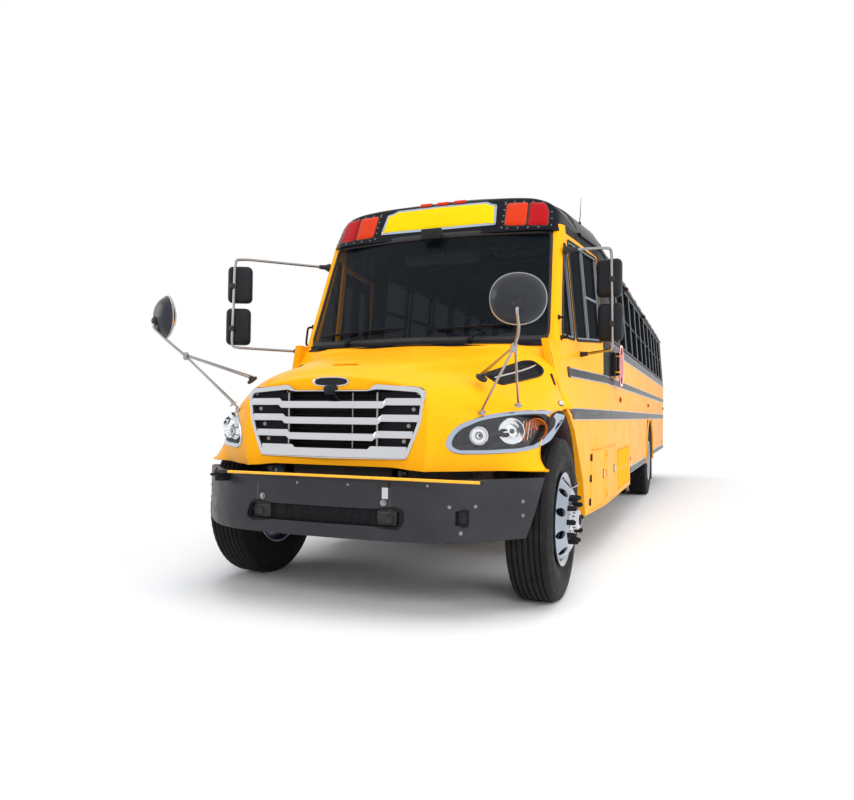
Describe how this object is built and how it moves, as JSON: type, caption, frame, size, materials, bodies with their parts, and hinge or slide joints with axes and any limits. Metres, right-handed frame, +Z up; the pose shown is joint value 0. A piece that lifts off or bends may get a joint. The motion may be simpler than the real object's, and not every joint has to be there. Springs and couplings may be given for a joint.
{
  "type": "school bus",
  "caption": "Conventional yellow school bus with a tilting hood, a long windowed body, twin rear wheels, an entrance door on the curb side and a stop arm.",
  "frame": {"origin": "on the ground under the middle of the overall box", "axes": "+Z up, -Y towards the nose, +X towards the driver's side, which is the bus's left"},
  "size_m": [3.028, 11.7196, 3.1301],
  "materials": {
    "yellow_paint": "gloss",
    "black_paint": "satin",
    "chassis_black": "matte",
    "bumper_black": "hammered",
    "chrome": "polished",
    "wheel_alloy": "polished",
    "tyre_rubber": "matte",
    "window_glass": "clear",
    "lamp_lens": "clear",
    "seat_cover": "satin",
    "interior_grey": "matte",
    "floor_rubber": "matte",
    "engine_iron": "matte",
    "pipe_steel": "satin",
    "arm_yellow": "gloss",
    "sign_red": "gloss"
  },
  "bodies": {
    "body": {"front_axle_beam": "chassis_black", "rear_axle": "chassis_black", "frame_rails": "chassis_black", "cross_members": "chassis_black", "leaf_springs": "chassis_black", "engine_block": "engine_iron", "drive_shaft": "chassis_black", "radiator": "chassis_black", "fuel_tank": "chassis_black", "exhaust_pipe": "pipe_steel", "windshield": "window_glass", "body_side_left": "yellow_paint", "body_side_right": "yellow_paint", "skirt_left": "yellow_paint", "skirt_right": "yellow_paint", "cab_front": "yellow_paint", "floor": "floor_rubber", "entrance_steps": "floor_rubber", "roof": "black_paint", "roof_cap": "black_paint", "rear_wall": "yellow_paint", "body_windows": "window_glass", "side_mirrors": "black_paint", "front_bumper": "bumper_black", "rear_bumper": "bumper_black", "passenger_seats": "seat_cover", "seat_legs": "chassis_black", "driver_seat": "seat_cover", "dashboard": "interior_grey"},
    "knuckle_left": {"steering_knuckle_left": "chassis_black"},
    "knuckle_right": {"steering_knuckle_right": "chassis_black"},
    "steering_link": {"tie_rod": "chassis_black"},
    "front_wheel_left": {"front_tyre_left": "tyre_rubber", "front_rim_left": "wheel_alloy"},
    "front_wheel_right": {"front_tyre_right": "tyre_rubber", "front_rim_right": "wheel_alloy"},
    "rear_wheels_left": {"rear_tyres_left": "tyre_rubber", "rear_rims_left": "wheel_alloy"},
    "rear_wheels_right": {"rear_tyres_right": "tyre_rubber", "rear_rims_right": "wheel_alloy"},
    "nose": {"hood": "yellow_paint", "headlamps": "lamp_lens", "grille": "chrome", "hood_mirrors": "black_paint"},
    "door_leaf_front": {"entrance_door_front": "yellow_paint"},
    "door_leaf_rear": {"entrance_door_rear": "yellow_paint"},
    "tail_door": {"rear_door": "yellow_paint"},
    "stop_sign_arm": {"stop_arm": "sign_red"},
    "guard_arm": {"crossing_arm": "arm_yellow"},
    "battery_locker_door": {"battery_door": "yellow_paint"},
    "side_locker_door": {"locker_door": "yellow_paint"},
    "hatch_front": {"roof_hatch_front": "black_paint"},
    "hatch_rear": {"roof_hatch_rear": "black_paint"},
    "steering_wheel_body": {"steering_wheel": "interior_grey"}
  },
  "joints": [
    {"name": "steer_left", "type": "hinge", "parent": "body", "child": "knuckle_left", "pos_m": [0.895, -4.74, 0.525], "axis": [0, 0, 1], "range_deg": [-42, 42]},
    {"name": "steer_right", "type": "hinge", "parent": "body", "child": "knuckle_right", "pos_m": [-0.895, -4.74, 0.525], "axis": [0, 0, 1], "range_deg": [-42, 42]},
    {"name": "tie_rod_pivot", "type": "hinge", "parent": "knuckle_left", "child": "steering_link", "pos_m": [0.895, -4.52, 0.4147], "axis": [0, 0, 1], "range_deg": [-42, 42]},
    {"name": "roll_front_left", "type": "hinge", "parent": "knuckle_left", "child": "front_wheel_left", "pos_m": [1.07, -4.74, 0.525], "axis": [1, 0, 0], "continuous": true},
    {"name": "roll_front_right", "type": "hinge", "parent": "knuckle_right", "child": "front_wheel_right", "pos_m": [-1.07, -4.74, 0.525], "axis": [1, 0, 0], "continuous": true},
    {"name": "roll_rear_left", "type": "hinge", "parent": "body", "child": "rear_wheels_left", "pos_m": [0.9, 2.2, 0.525], "axis": [1, 0, 0], "continuous": true},
    {"name": "roll_rear_right", "type": "hinge", "parent": "body", "child": "rear_wheels_right", "pos_m": [-0.9, 2.2, 0.525], "axis": [1, 0, 0], "continuous": true},
    {"name": "hood_tilt", "type": "hinge", "parent": "body", "child": "nose", "pos_m": [0, -5.63, 0.852], "axis": [1, 0, 0], "range_deg": [0, 50]},
    {"name": "entrance_front_leaf", "type": "hinge", "parent": "body", "child": "door_leaf_front", "pos_m": [-1.17395, -3.62, 0.43], "axis": [0.058, 0, 0.9983], "range_deg": [0, 80]},
    {"name": "entrance_rear_leaf", "type": "hinge", "parent": "body", "child": "door_leaf_rear", "pos_m": [-1.21882, -2.86, 0.43], "axis": [-0.0266, 0, -0.9996], "range_deg": [0, 80]},
    {"name": "rear_door_hinge", "type": "hinge", "parent": "body", "child": "tail_door", "pos_m": [-0.47, 5.76, 1.76], "axis": [0, 0, 1], "range_deg": [0, 110]},
    {"name": "stop_arm_hinge", "type": "hinge", "parent": "body", "child": "stop_sign_arm", "pos_m": [1.281, -2.495, 1.686], "axis": [0, 0, -1], "range_deg": [0, 90]},
    {"name": "crossing_arm_hinge", "type": "hinge", "parent": "body", "child": "guard_arm", "pos_m": [-0.7, -5.824, 0.84], "axis": [0, 0, -1], "range_deg": [0, 90]},
    {"name": "battery_door_hinge", "type": "hinge", "parent": "body", "child": "battery_locker_door", "pos_m": [1.17991, -3.5, 0.425], "axis": [-0.0255, 0, -0.9997], "range_deg": [0, 100]},
    {"name": "locker_door_hinge", "type": "hinge", "parent": "body", "child": "side_locker_door", "pos_m": [1.219, -2.785, 0.6715], "axis": [0, 0, -1], "range_deg": [0, 100]},
    {"name": "roof_hatch_front_hinge", "type": "hinge", "parent": "body", "child": "hatch_front", "pos_m": [0, -1.78, 3.1023], "axis": [1, 0, 0], "range_deg": [0, 80]},
    {"name": "roof_hatch_rear_hinge", "type": "hinge", "parent": "body", "child": "hatch_rear", "pos_m": [0, 3.22, 3.1023], "axis": [1, 0, 0], "range_deg": [0, 80]},
    {"name": "steering_wheel_turn", "type": "hinge", "parent": "body", "child": "steering_wheel_body", "pos_m": [0.6, -3.665, 1.7], "axis": [0, 0.6198, 0.7848], "range_deg": [-504, 504]}
  ],
  "couplings": [
    {"joint": "steer_right", "follows": "steer_left", "ratio": 1},
    {"joint": "tie_rod_pivot", "follows": "steer_left", "ratio": -1},
    {"joint": "steering_wheel_turn", "follows": "steer_left", "ratio": 12},
    {"joint": "entrance_rear_leaf", "follows": "entrance_front_leaf", "ratio": 1}
  ]
}
